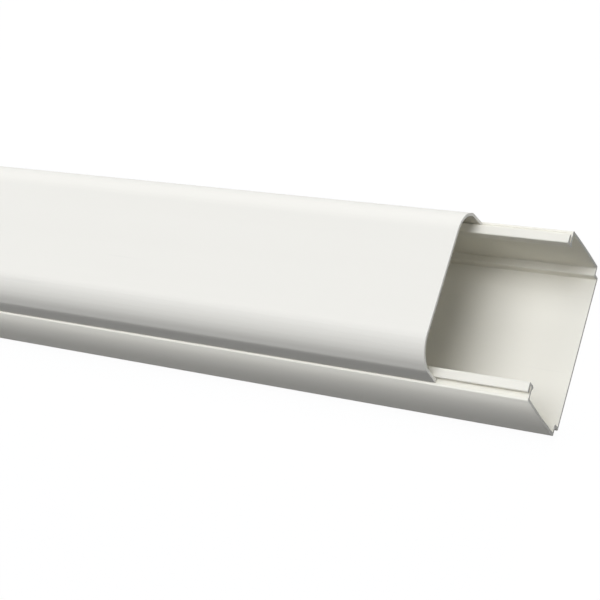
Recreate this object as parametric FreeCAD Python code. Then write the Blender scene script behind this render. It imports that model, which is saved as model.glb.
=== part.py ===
import FreeCAD, Part
import math
import os

# Two-piece wall trunking: a channel that is fixed to the wall and a cover that snaps over it.
# Millimetres. X runs along the length, Y across the width, Z away from the wall.
# The back of the channel lies in Z = 0 and the middle of its length is X = 0.

length = 2000.0            # both profiles are cut to the same stock length
cover_setback = 41.1       # how far the cover stands back from the open end
wall = 1.3                 # wall thickness of both profiles

# channel
foot_half = 40.0           # half the width over the feet of the side walls
foot_step = 4.0            # the feet stand this far off the wall
strip_width = 3.9          # width of the stepped strip beside each foot
ledge_height = 43.0        # height of the ledges that the cover comes down to
shoulder_inset = 1.75      # how much each side wall leans in from foot to shoulder
side_bow = 0.35            # how far the middle of a side wall bulges outward
bead_width = 1.15          # raised bead along the outer edge of a ledge
bead_rise = 0.2
bead_slope = 0.15
shoulder_radius = 0.9

# lips, measured outward or forward from the ledge and the shoulder
lip_gap = 0.55             # side clearance between a lip's edge and the cover's inner face
lip_depth = 4.1            # width of the lip's front plate
lip_plate = 1.5            # thickness of the lip's front plate
groove_height = 1.5        # open height of the groove under the front plate
web = 1.3                  # thickness of the web at the bottom of the groove
leg_drop = 1.1             # how far the web's toe reaches below the ledge
toe_lean = 0.5
toe_width = 0.5
gusset = 0.9

# cover
cover_inset = 0.85         # how far the cover's edge stands in from the shoulder
edge_gap = 0.1             # gap between the cover's edge and the bead
cover_height = 64.5        # height of the flat crown above the wall
skirt_top = 54.9           # height of the crease between the skirt and the slope above it
skirt_lean = 4.9           # lean of the skirt in degrees
slope_lean = 27.3          # lean of the slope in degrees
crease_radius = 1.0
cover_radius = 13.0        # outer radius of the long corners beside the crown
barb_gap = 0.1             # clearance above the snap edge, under the lip's front plate
barb_reach = 0.35          # how far the snap edge reaches under the lip
edge_land = 0.7            # width of the cover's bottom edge
barb_rise = 0.6            # height of the slope from the bottom edge to the snap edge's tip

ledge_top = ledge_height
bead_top = ledge_height + bead_rise
plate_under = ledge_height + groove_height
lip_top = plate_under + lip_plate
shoulder_half = foot_half - shoulder_inset
edge_bottom = bead_top + edge_gap
edge_half = shoulder_half - cover_inset


def cover_side(z):
    """Outer half width of the cover's skirt at height z."""
    return edge_half - (z - edge_bottom) * math.tan(math.radians(skirt_lean))


def cover_inside(z):
    """Inner half width of the cover's skirt at height z."""
    return cover_side(z) - wall / math.cos(math.radians(skirt_lean))


lip_outer = cover_inside(lip_top) - lip_gap
lip_inner = lip_outer - lip_depth
groove_bottom = lip_inner + web


def channel_side(z):
    """Outer half width of the channel's side wall at height z, without the bow."""
    return foot_half - shoulder_inset * (z - foot_step) / (bead_top - foot_step)


def channel_inside(z):
    """Inner half width of the channel's side wall at height z, without the bow."""
    slope = shoulder_inset / (bead_top - foot_step)
    return channel_side(z) - wall * math.hypot(1.0, slope)


def corner(before, point, after):
    """Start, middle and end of the arc that rounds a corner; point is (y, z, radius)."""
    y, z, radius = point
    ay, az = before[0] - y, before[1] - z
    by, bz = after[0] - y, after[1] - z
    la, lb = math.hypot(ay, az), math.hypot(by, bz)
    ay, az, by, bz = ay / la, az / la, by / lb, bz / lb
    half = 0.5 * math.acos(max(-1.0, min(1.0, ay * by + az * bz)))
    cut = radius / math.tan(half)
    my, mz = ay + by, az + bz
    lm = math.hypot(my, mz)
    reach = radius / math.sin(half) - radius
    start = (y + ay * cut, z + az * cut)
    middle = (y + my / lm * reach, z + mz / lm * reach)
    end = (y + by * cut, z + bz * cut)
    return start, middle, end


def vec(point, x):
    return FreeCAD.Vector(x, point[0], point[1])


def arc_edges(points, radius, x):
    """The arc through three points, cut into short arcs where it is large."""
    arc = Part.Arc(*[vec(point, x) for point in points])
    parts = 1 if radius < 5 else 6
    step = (arc.LastParameter - arc.FirstParameter) / parts
    edges = []
    for i in range(parts):
        first = arc.FirstParameter + i * step
        pieces = [arc.value(first), arc.value(first + 0.5 * step), arc.value(first + step)]
        edges.append(Part.Arc(*pieces).toShape())
    return edges


def rounded_edges(points, x):
    """Lines and arcs round a closed outline of (y, z, radius) corners, drawn at the given x."""
    edges = []
    corners = []
    count = len(points)
    for i in range(count):
        before, here, after = points[i - 1], points[i], points[(i + 1) % count]
        if here[2] > 0:
            corners.append(corner(before, here, after))
        else:
            corners.append((here, here, here))
    for i in range(count):
        start, middle, end = corners[i]
        if points[i][2] > 0:
            edges += arc_edges((start, middle, end), points[i][2], x)
        following = corners[(i + 1) % count][0]
        edges.append(Part.LineSegment(vec(end, x), vec(following, x)).toShape())
    return edges


def mirrored(points):
    """The same outline on the other side of the middle plane, in the reverse order."""
    return [(-y, z, radius) for y, z, radius in reversed(points)]


def extrude(edges, run):
    wire = Part.Wire(Part.__sortEdges__(edges))
    face = Part.Face(wire)
    solid = face.extrude(FreeCAD.Vector(run, 0, 0))
    return solid


def bowed(y, z, run):
    """Rounded corner that lets a straight side of this length bulge outward by side_bow."""
    peak = 1.8 * side_bow
    turn = math.atan(2 * peak / run)
    return y + peak, z, (peak - side_bow) / (1 / math.cos(turn) - 1)


def channel_half():
    """Corners of the channel's section on one side, from the back face round to the inside."""
    side_middle = 0.5 * (foot_step + bead_top)
    side_run = bead_top - foot_step
    plate_half = foot_half - strip_width
    bead_inner = shoulder_half - bead_width
    leg_bottom = ledge_top - wall - leg_drop
    under = ledge_top - wall
    outside = [
        (plate_half, 0.0, 0.4),
        (plate_half, foot_step, 0.4),
        (foot_half, foot_step, 0.6),
        bowed(channel_side(side_middle), side_middle, side_run),
        (shoulder_half, bead_top, shoulder_radius),
        (bead_inner, bead_top, 0.1),
        (bead_inner - bead_slope, ledge_top, 0.1),
    ]
    lip = [
        (groove_bottom, ledge_top, 0.25),
        (groove_bottom, plate_under, 0.25),
        (lip_outer, plate_under, 0.2),
        (lip_outer, lip_top, 0.4),
        (lip_inner, lip_top, 0.5),
        (lip_inner, under + 0.4, 0.5),
        (lip_inner + toe_lean, leg_bottom, 0.2),
        (lip_inner + toe_lean + toe_width, leg_bottom, 0.2),
        (groove_bottom + gusset, under, 0.4),
    ]
    inside = [
        (channel_inside(under), under, 0.6),
        bowed(channel_inside(side_middle), side_middle, side_run - 3 * wall),
        (channel_inside(foot_step + wall), foot_step + wall, 0.6),
        (plate_half - wall, foot_step + wall, 0.6),
        (plate_half - wall, wall, 0.4),
    ]
    return outside + lip + inside


def base_channel():
    half = channel_half()
    edges = rounded_edges(half + mirrored(half), -0.5 * length)
    return extrude(edges, length)


def inset(point, lower, upper):
    """The point one wall thickness inside a corner between two sides that lean by these degrees."""
    middle = math.radians(0.5 * (lower + upper))
    reach = wall / math.cos(math.radians(0.5 * (upper - lower)))
    return point[0] - reach * math.cos(middle), point[1] - reach * math.sin(middle)


def snap_edge():
    """Corners of the cover's hooked edge, from the inner side round to the outer side."""
    barb_top = plate_under - barb_gap
    barb_tip = lip_outer - barb_reach
    return [
        (cover_inside(barb_top), barb_top, 0.2),
        (barb_tip, barb_top, 0.2),
        (barb_tip, edge_bottom + barb_rise, 0.15),
        (edge_half - edge_land, edge_bottom, 0.2),
        (edge_half, edge_bottom, 0.2),
    ]


def cover_half():
    """Corners of the cover's section on one side, from under the crown round to its top."""
    crease = (cover_side(skirt_top), skirt_top)
    rise = cover_height - skirt_top
    shoulder = (crease[0] - rise * math.tan(math.radians(slope_lean)), cover_height)
    inner_crease = inset(crease, skirt_lean, slope_lean)
    inner_shoulder = inset(shoulder, slope_lean, 90.0)
    inside = [
        inner_shoulder + (cover_radius - wall,),
        inner_crease + (0.4,),
    ]
    outside = [
        crease + (crease_radius,),
        shoulder + (cover_radius,),
    ]
    return inside + snap_edge() + outside


def snap_cover():
    half = cover_half()
    edges = rounded_edges(half + mirrored(half), -0.5 * length - cover_setback)
    return extrude(edges, length)


def main():
    os.makedirs("parts", exist_ok=True)
    base_channel().exportStep("parts/base_channel.step")
    snap_cover().exportStep("parts/snap_cover.step")


main()
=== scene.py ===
import math

import bpy
from mathutils import Matrix, Vector

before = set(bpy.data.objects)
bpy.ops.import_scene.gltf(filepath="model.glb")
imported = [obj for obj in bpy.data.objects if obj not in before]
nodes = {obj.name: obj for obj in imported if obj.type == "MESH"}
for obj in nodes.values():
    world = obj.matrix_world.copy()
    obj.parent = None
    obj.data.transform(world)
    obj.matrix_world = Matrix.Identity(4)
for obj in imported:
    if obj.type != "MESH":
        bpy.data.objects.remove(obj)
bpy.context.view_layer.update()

scene = bpy.context.scene
scene.view_settings.view_transform = "Standard"
print("loaded", sorted(nodes))


# small helpers for shader trees
def newGroup(name, inputs, outputs):
    group = bpy.data.node_groups.new(name, "ShaderNodeTree")
    for label, kind in inputs:
        group.interface.new_socket(label, in_out="INPUT", socket_type=kind)
    for label, kind in outputs:
        group.interface.new_socket(label, in_out="OUTPUT", socket_type=kind)
    entry = group.nodes.new("NodeGroupInput")
    leave = group.nodes.new("NodeGroupOutput")
    entry.location = (-1400, 0)
    leave.location = (600, 0)
    return group, entry, leave


def addNode(tree, kind, place, **settings):
    node = tree.nodes.new(kind)
    node.location = place
    for key, value in settings.items():
        setattr(node, key, value)
    return node


def addMath(tree, operation, first, second, place):
    node = addNode(tree, "ShaderNodeMath", place, operation=operation)
    for index, value in enumerate((first, second)):
        if value is None:
            continue
        if hasattr(value, "links"):
            tree.links.new(value, node.inputs[index])
        else:
            node.inputs[index].default_value = value
    return node.outputs[0]


def addRange(tree, value, limits, place, target=(0.0, 1.0), smooth=False):
    node = addNode(tree, "ShaderNodeMapRange", place, clamp=True)
    if smooth:
        node.interpolation_type = "SMOOTHSTEP"
    tree.links.new(value, node.inputs["Value"])
    for label, number in zip(("From Min", "From Max", "To Min", "To Max"), (*limits, *target)):
        node.inputs[label].default_value = number
    return node.outputs["Result"]


def stretchedNoise(tree, coords, noise, place, scale=None):
    # noise gives the stretch along X, Y and Z, the scale per metre, the detail and a turn in degrees
    mapping = addNode(tree, "ShaderNodeMapping", place)
    mapping.inputs["Scale"].default_value = noise["stretch"]
    mapping.inputs["Rotation"].default_value[0] = math.radians(noise.get("turn", 0.0))
    texture = addNode(tree, "ShaderNodeTexNoise", (place[0] + 200, place[1]))
    tree.links.new(coords, mapping.inputs["Vector"])
    tree.links.new(mapping.outputs["Vector"], texture.inputs["Vector"])
    texture.inputs["Detail"].default_value = noise["detail"]
    if scale is None:
        texture.inputs["Scale"].default_value = noise["scale"]
    else:
        tree.links.new(scale, texture.inputs["Scale"])
    return texture.outputs["Fac"]


# die lines: faint streaks that the die leaves along an extruded profile
die = {
    "fine": {"stretch": (0.004, 1.0, 1.0), "detail": 3.0},  # its scale is the group's lines per metre
    "broad": {"stretch": (0.02, 1.0, 1.0), "scale": 110.0, "detail": 1.0},
    "wave": {"stretch": (1.0, 1.0, 1.0), "scale": 26.0, "detail": 1.0},
    "fineShare": 0.45,
    "broadShare": 0.55,
    "streakLimits": (0.3, 0.7),
}


def makeDieLines():
    group, entry, leave = newGroup(
        "DieLines",
        [
            ("Vector", "NodeSocketVector"),
            ("Lines per metre", "NodeSocketFloat"),
            ("Waviness", "NodeSocketFloat"),
        ],
        [("Height", "NodeSocketFloat"), ("Streak", "NodeSocketFloat")],
    )
    vector = entry.outputs["Vector"]
    fine = stretchedNoise(group, vector, die["fine"], (-1100, 200), entry.outputs["Lines per metre"])
    broad = stretchedNoise(group, vector, die["broad"], (-1100, -100))
    wave = stretchedNoise(group, vector, die["wave"], (-1100, -400))
    finePart = addMath(group, "MULTIPLY", fine, die["fineShare"], (-500, 200))
    broadPart = addMath(group, "MULTIPLY", broad, die["broadShare"], (-500, -50))
    mixed = addMath(group, "ADD", finePart, broadPart, (-300, 100))
    soft = addMath(group, "MULTIPLY", wave, entry.outputs["Waviness"], (-300, -300))
    height = addMath(group, "ADD", mixed, soft, (0, 100))
    streak = addRange(group, broad, die["streakLimits"], (0, -150))
    group.links.new(height, leave.inputs["Height"])
    group.links.new(streak, leave.inputs["Streak"])
    return group


# saw cut: tooth marks and a dusty tone on the sawn ends, masked by the face's own direction; the material
# also uses the End mask to put a painted shade on those ends
saw = {
    "endLimits": (0.6, 0.9),  # how squarely a face looks along X, from no end to a sawn end
    "teeth": {"stretch": (0.0, 0.15, 1.0), "detail": 2.0, "turn": 14.0},  # the saw went through aslant
    "dust": {"stretch": (1.0, 1.0, 1.0), "scale": 700.0, "detail": 4.0},
    "teethShare": 0.6,
    "dustShare": 0.4,
    "toneLimits": (0.35, 0.65),
}


def makeSawCut():
    group, entry, leave = newGroup(
        "SawCut",
        [
            ("Vector", "NodeSocketVector"),
            ("Normal", "NodeSocketVector"),
            ("Pitch", "NodeSocketFloat"),
        ],
        [("End", "NodeSocketFloat"), ("Height", "NodeSocketFloat"), ("Tone", "NodeSocketFloat")],
    )
    split = addNode(group, "ShaderNodeSeparateXYZ", (-1100, 300))
    group.links.new(entry.outputs["Normal"], split.inputs["Vector"])
    facing = addMath(group, "ABSOLUTE", split.outputs["X"], None, (-900, 300))
    end = addRange(group, facing, saw["endLimits"], (-650, 300))
    group.links.new(end, leave.inputs["End"])
    vector = entry.outputs["Vector"]
    teeth = stretchedNoise(group, vector, saw["teeth"], (-1100, 0), entry.outputs["Pitch"])
    dust = stretchedNoise(group, vector, saw["dust"], (-1100, -300))
    group.links.new(teeth, leave.inputs["Height"])
    teethPart = addMath(group, "MULTIPLY", teeth, saw["teethShare"], (-500, 0))
    dustPart = addMath(group, "MULTIPLY", dust, saw["dustShare"], (-500, -250))
    mixed = addMath(group, "ADD", teethPart, dustPart, (-300, -100))
    tone = addRange(group, mixed, saw["toneLimits"], (0, -100))
    group.links.new(tone, leave.inputs["Tone"])
    return group


# handling: soft cloudy tone, fine pebble and a few lengthwise scuffs from storage and carrying
wear = {
    "cloud": {"stretch": (0.35, 1.0, 1.0), "scale": 22.0, "detail": 2.0},
    "scuff": {"stretch": (0.03, 1.0, 1.0), "scale": 420.0, "detail": 2.0},
    "patch": {"stretch": (0.6, 1.0, 1.0), "scale": 14.0, "detail": 0.0},
    "pebble": {"stretch": (1.0, 1.0, 1.0), "scale": 1500.0, "detail": 1.0},
    "scuffLimits": (0.66, 0.74),
    "patchLimits": (0.52, 0.66),
}


def makeHandling():
    group, entry, leave = newGroup(
        "Handling",
        [("Vector", "NodeSocketVector"), ("Scuffs", "NodeSocketFloat")],
        [("Cloud", "NodeSocketFloat"), ("Scuff", "NodeSocketFloat"), ("Pebble", "NodeSocketFloat")],
    )
    vector = entry.outputs["Vector"]
    cloud = stretchedNoise(group, vector, wear["cloud"], (-1100, 300))
    scuff = stretchedNoise(group, vector, wear["scuff"], (-1100, 0))
    patch = stretchedNoise(group, vector, wear["patch"], (-1100, -300))
    pebble = stretchedNoise(group, vector, wear["pebble"], (-1100, -600))
    lines = addRange(group, scuff, wear["scuffLimits"], (-500, 0), smooth=True)
    where = addRange(group, patch, wear["patchLimits"], (-500, -300), smooth=True)
    both = addMath(group, "MULTIPLY", lines, where, (-250, -100))
    amount = addMath(group, "MULTIPLY", both, entry.outputs["Scuffs"], (0, -100))
    group.links.new(cloud, leave.inputs["Cloud"])
    group.links.new(amount, leave.inputs["Scuff"])
    group.links.new(pebble, leave.inputs["Pebble"])
    return group


dieLines = makeDieLines()
sawCut = makeSawCut()
handling = makeHandling()
print("shader groups ready")


def placeGroup(tree, group, place, **values):
    node = tree.nodes.new("ShaderNodeGroup")
    node.node_tree = group
    node.location = place
    for label, value in values.items():
        node.inputs[label].default_value = value
    return node


# relief that rounds the skirt's shading into the crease; outward faces sink and inward faces rise
def softCrease(tree, coords, crease):
    place = addNode(tree, "ShaderNodeSeparateXYZ", (-1400, -700))
    facing = addNode(tree, "ShaderNodeSeparateXYZ", (-1400, -850))
    tree.links.new(coords.outputs["Object"], place.inputs["Vector"])
    tree.links.new(coords.outputs["Normal"], facing.inputs["Vector"])
    sideways = addMath(tree, "MULTIPLY", place.outputs["Y"], facing.outputs["Y"], (-1200, -850))
    upward = addMath(tree, "MULTIPLY", facing.outputs["Z"], crease["crownWeight"], (-1200, -1000))
    outward = addMath(tree, "ADD", sideways, upward, (-1050, -900))
    side = addMath(tree, "SIGN", outward, None, (-900, -900))
    start = crease["height"] - crease["reach"]
    near = addRange(tree, place.outputs["Z"], (start, crease["height"]), (-1200, -700))
    curve = addMath(tree, "POWER", near, crease["power"], (-1050, -700))
    sunk = addMath(tree, "MULTIPLY", curve, -crease["depth"], (-900, -750))
    return addMath(tree, "MULTIPLY", sunk, side, (-750, -800))


def makeRigidPvc(name, settings):
    material = bpy.data.materials.new(name)
    material.use_nodes = True
    tree = material.node_tree
    links = tree.links
    shader = tree.nodes["Principled BSDF"]
    shader.location = (600, 0)
    shader.inputs["IOR"].default_value = settings["ior"]
    shader.inputs["Specular IOR Level"].default_value = settings["gloss"]
    coords = addNode(tree, "ShaderNodeTexCoord", (-1700, 0))
    lines = placeGroup(tree, dieLines, (-1400, 300), Waviness=settings["waviness"])
    lines.inputs["Lines per metre"].default_value = settings["linesPerMetre"]
    ends = placeGroup(tree, sawCut, (-1400, 0), Pitch=settings["sawPitch"])
    touch = placeGroup(tree, handling, (-1400, -300), Scuffs=settings["scuffs"])
    for group in (lines, ends, touch):
        links.new(coords.outputs["Object"], group.inputs["Vector"])
    links.new(coords.outputs["Normal"], ends.inputs["Normal"])

    # colour: cream, a shade darker or lighter in clouds and die streaks; the sawn ends carry a painted
    # shade, a grey far darker than the cream, mottled by the saw's dusty tone
    cloudy = addNode(tree, "ShaderNodeMix", (-900, 500), data_type="RGBA")
    cloudy.inputs["A"].default_value = settings["shadeColor"]
    cloudy.inputs["B"].default_value = settings["color"]
    cloudPart = addMath(tree, "MULTIPLY", touch.outputs["Cloud"], settings["cloudShare"], (-1150, 520))
    streakPart = addMath(tree, "MULTIPLY", lines.outputs["Streak"], settings["streakShare"], (-1150, 400))
    tone = addMath(tree, "ADD", cloudPart, streakPart, (-1000, 460))
    links.new(tone, cloudy.inputs["Factor"])
    scuffed = addNode(tree, "ShaderNodeMix", (-650, 450), data_type="RGBA")
    scuffed.inputs["B"].default_value = settings["scuffColor"]
    scuffTone = addMath(tree, "MULTIPLY", touch.outputs["Scuff"], settings["scuffTone"], (-850, 300))
    links.new(scuffTone, scuffed.inputs["Factor"])
    links.new(cloudy.outputs["Result"], scuffed.inputs["A"])
    # painted shade: the sawn ends are coloured dark grey to stand for the shade on the end faces, not for
    # a colour of the cut plastic
    sawn = addNode(tree, "ShaderNodeMix", (-900, 150), data_type="RGBA")
    sawn.inputs["A"].default_value = settings["sawnPaintedShadeDeep"]
    sawn.inputs["B"].default_value = settings["sawnPaintedShadePale"]
    links.new(ends.outputs["Tone"], sawn.inputs["Factor"])
    surface = addNode(tree, "ShaderNodeMix", (-350, 350), data_type="RGBA")
    links.new(ends.outputs["End"], surface.inputs["Factor"])
    links.new(scuffed.outputs["Result"], surface.inputs["A"])
    links.new(sawn.outputs["Result"], surface.inputs["B"])
    links.new(surface.outputs["Result"], shader.inputs["Base Color"])

    # roughness: satin, streaked a little by the die, matt where sawn or scuffed
    satin = addRange(tree, lines.outputs["Streak"], (0.0, 1.0), (-900, -100), settings["rough"])
    scuffRough = addMath(tree, "MULTIPLY", touch.outputs["Scuff"], settings["scuffRough"], (-900, -250))
    rubbed = addMath(tree, "ADD", satin, scuffRough, (-650, -150))
    matt = addNode(tree, "ShaderNodeMix", (-350, -100), data_type="FLOAT")
    matt.inputs["B"].default_value = settings["sawnRough"]
    links.new(ends.outputs["End"], matt.inputs["Factor"])
    links.new(rubbed, matt.inputs["A"])
    links.new(matt.outputs["Result"], shader.inputs["Roughness"])

    # relief: die lines, a fine pebble and the softened crease on the skin, tooth marks on the sawn ends
    drawn = addMath(tree, "MULTIPLY", lines.outputs["Height"], settings["lineDepth"], (-900, -450))
    grained = addMath(tree, "MULTIPLY", touch.outputs["Pebble"], settings["pebbleDepth"], (-900, -600))
    skin = addMath(tree, "ADD", drawn, grained, (-650, -500))
    if "crease" in settings:
        skin = addMath(tree, "ADD", skin, softCrease(tree, coords, settings["crease"]), (-500, -600))
    marks = addMath(tree, "MULTIPLY", ends.outputs["Height"], settings["sawDepth"], (-650, -700))
    relief = addNode(tree, "ShaderNodeMix", (-350, -500), data_type="FLOAT")
    links.new(ends.outputs["End"], relief.inputs["Factor"])
    links.new(skin, relief.inputs["A"])
    links.new(marks, relief.inputs["B"])
    bump = addNode(tree, "ShaderNodeBump", (100, -400))
    bump.inputs["Strength"].default_value = 1.0
    bump.inputs["Distance"].default_value = 1.0  # so the height is in metres
    links.new(relief.outputs["Result"], bump.inputs["Height"])
    links.new(bump.outputs["Normal"], shader.inputs["Normal"])
    return material


def dress(node, material):
    shape = nodes[node]
    if not shape.data.materials:
        shape.data.materials.append(material)
    for place in shape.material_slots:
        place.material = material


# channel: cream rigid PVC, a little duller than the cover
channel = {
    "color": (0.882, 0.855, 0.752, 1.0),
    "shadeColor": (0.858, 0.831, 0.728, 1.0),
    "scuffColor": (0.70, 0.68, 0.62, 1.0),
    # sawn ends: painted shade, a dark grey for the shade on the channel's end faces
    "sawnPaintedShadeDeep": (0.42, 0.41, 0.37, 1.0),
    "sawnPaintedShadePale": (0.56, 0.546, 0.49, 1.0),
    "cloudShare": 0.7,
    "streakShare": 0.3,
    "scuffTone": 0.35,
    "ior": 1.52,
    "gloss": 0.25,
    "rough": (0.42, 0.5),
    "scuffRough": 0.18,
    "sawnRough": 0.72,
    "linesPerMetre": 900.0,
    "waviness": 0.35,
    "lineDepth": 0.000045,
    "pebbleDepth": 0.000006,
    "sawDepth": 0.00006,
    "sawPitch": 1400.0,
    "scuffs": 0.6,
}
dress("base_channel", makeRigidPvc("ChannelPvc", channel))
print("channel dressed")


# cover: the face that shows in a room, so the finest skin
cover = dict(
    channel,
    color=(0.888, 0.863, 0.778, 1.0),
    shadeColor=(0.87, 0.845, 0.76, 1.0),
    # sawn ends: painted shade, paler than the channel's, for the shade on the cover's end faces
    sawnPaintedShadeDeep=(0.64, 0.627, 0.567, 1.0),
    sawnPaintedShadePale=(0.76, 0.745, 0.675, 1.0),
    rough=(0.4, 0.47),
    lineDepth=0.000035,
    scuffs=0.35,
    crease={
        "height": 0.0549,  # of the crease, above the wall
        "reach": 0.005,  # how far below the crease the softening starts
        "depth": 0.0008,
        "power": 3.0,
        "crownWeight": 0.02,  # so the crown, which faces neither side, counts as outward too
    },
)
dress("snap_cover", makeRigidPvc("CoverPvc", cover))
print("cover dressed")


# studio: a plain pale floor that is seen as white and keeps the shadow, and soft lamps round the piece
studio = {
    "floorHalf": 9.0,
    "floorDrop": 0.0003,  # keeps the back plate clear of the paper
    "floorGrey": 0.05,
    "floorGlow": 0.955,
    "backdropGlow": 1.0,
    "lampColor": (0.978, 1.0, 1.065),
    "lampDistance": 2.0,  # keeps the lamps apart, a sun lights the same from anywhere
    # name, strength, degrees above the floor, degrees round from +X towards +Y, degrees across
    "lamps": [
        ("Overhead", 1.50, 90, 0, 38),
        ("EndHigh", 0.55, 78, 0, 20),
        ("SideHigh", 0.22, 78, 270, 20),
        ("FarMid", 0.39, 40, 180, 34),
        ("EndLow", 1.15, 14, 0, 24),
        ("BackLow", 1.30, 14, 90, 24),
    ],
}

# strip lamp: a long thin softbox close beside the channel, which lights its side wall from the top down
strip = {
    "length": 2.2,
    "width": 0.006,
    "place": (0.0, -0.056, 0.0445),
    "facing": (0.0, 1.0, 0.0),
    "power": 0.112,
}


def seenRay(tree, place):
    path = addNode(tree, "ShaderNodeLightPath", place)
    camera, glossy = path.outputs["Is Camera Ray"], path.outputs["Is Glossy Ray"]
    first = addMath(tree, "MAXIMUM", camera, glossy, (place[0] + 200, place[1]))
    through = path.outputs["Is Transmission Ray"]
    return addMath(tree, "MAXIMUM", first, through, (place[0] + 400, place[1]))


def makeFloor():
    half = studio["floorHalf"]
    mesh = bpy.data.meshes.new("Floor")
    low = -studio["floorDrop"]
    corners = [(-half, -half, low), (half, -half, low), (half, half, low), (-half, half, low)]
    mesh.from_pydata(corners, [], [(0, 1, 2, 3)])
    floor = bpy.data.objects.new("Floor", mesh)
    scene.collection.objects.link(floor)
    material = bpy.data.materials.new("FloorPaper")
    material.use_nodes = True
    tree = material.node_tree
    tree.nodes.clear()
    paper = addNode(tree, "ShaderNodeBsdfDiffuse", (0, 100))
    paper.inputs["Color"].default_value = (studio["floorGrey"],) * 3 + (1.0,)
    glow = addNode(tree, "ShaderNodeEmission", (0, -100))
    seen = seenRay(tree, (-800, -100))
    shine = addMath(tree, "MULTIPLY", seen, studio["floorGlow"], (-200, -100))
    tree.links.new(shine, glow.inputs["Strength"])
    both = addNode(tree, "ShaderNodeAddShader", (250, 0))
    out = addNode(tree, "ShaderNodeOutputMaterial", (450, 0))
    tree.links.new(paper.outputs[0], both.inputs[0])
    tree.links.new(glow.outputs[0], both.inputs[1])
    tree.links.new(both.outputs[0], out.inputs["Surface"])
    material.cycles.emission_sampling = "NONE"  # the glow is only seen, it lights nothing
    mesh.materials.append(material)


def makeWorld():
    world = bpy.data.worlds.new("Studio")
    scene.world = world
    world.use_nodes = True
    tree = world.node_tree
    tree.nodes.clear()
    dark = addNode(tree, "ShaderNodeBackground", (0, 100))
    dark.inputs["Color"].default_value = (0, 0, 0, 1)
    white = addNode(tree, "ShaderNodeBackground", (0, -100))
    white.inputs["Color"].default_value = (1, 1, 1, 1)
    white.inputs["Strength"].default_value = studio["backdropGlow"]
    pick = addNode(tree, "ShaderNodeMixShader", (250, 0))
    out = addNode(tree, "ShaderNodeOutputWorld", (450, 0))
    tree.links.new(seenRay(tree, (-500, 0)), pick.inputs[0])
    tree.links.new(dark.outputs[0], pick.inputs[1])
    tree.links.new(white.outputs[0], pick.inputs[2])
    tree.links.new(pick.outputs[0], out.inputs["Surface"])


def aim(lamp, towards):
    lamp.rotation_euler = Vector(towards).to_track_quat("-Z", "Y").to_euler()


def makeLamps():
    for name, strength, height, heading, spread in studio["lamps"]:
        light = bpy.data.lights.new(name, "SUN")
        light.energy = strength
        light.color = studio["lampColor"]
        light.angle = math.radians(spread)
        lamp = bpy.data.objects.new(name, light)
        up, turned = math.radians(height), math.radians(heading)
        away = Vector((math.cos(up) * math.cos(turned), math.cos(up) * math.sin(turned), math.sin(up)))
        lamp.location = studio["lampDistance"] * away
        aim(lamp, -away)
        scene.collection.objects.link(lamp)


def makeStrip():
    light = bpy.data.lights.new("Strip", "AREA")
    light.shape = "RECTANGLE"
    light.size, light.size_y = strip["length"], strip["width"]
    light.energy = strip["power"]
    light.color = studio["lampColor"]
    lamp = bpy.data.objects.new("Strip", light)
    lamp.location = strip["place"]
    lamp.visible_camera = False
    aim(lamp, strip["facing"])
    scene.collection.objects.link(lamp)
    lit = bpy.data.collections.new("StripLit")
    scene.collection.children.link(lit)
    lit.objects.link(nodes["base_channel"])
    lamp.light_linking.receiver_collection = lit


makeFloor()
makeWorld()
makeLamps()
makeStrip()
print("studio ready")


# camera: over the open end, rolled as the photograph is; the three directions are the picture's own
lens = {
    "place": (1.200961, -0.199778, 0.565502),
    "right": (0.8599123, 0.2994718, -0.4133612),
    "down": (0.1213291, -0.9065190, -0.4043544),
    "ahead": (-0.4958125, 0.2975566, -0.8158615),
    "focal": 85.697,
    "sensor": 36.0,
    "clip": (0.01, 50.0),
}


def makeCamera():
    data = bpy.data.cameras.new("Camera")
    data.sensor_width = lens["sensor"]
    data.lens = lens["focal"]
    data.clip_start, data.clip_end = lens["clip"]
    camera = bpy.data.objects.new("Camera", data)
    right, down, ahead = (Vector(lens[key]) for key in ("right", "down", "ahead"))
    turn = Matrix((right, -down, -ahead)).transposed()
    camera.matrix_world = Matrix.Translation(Vector(lens["place"])) @ turn.to_4x4()
    scene.collection.objects.link(camera)
    scene.camera = camera


makeCamera()
print("camera set")
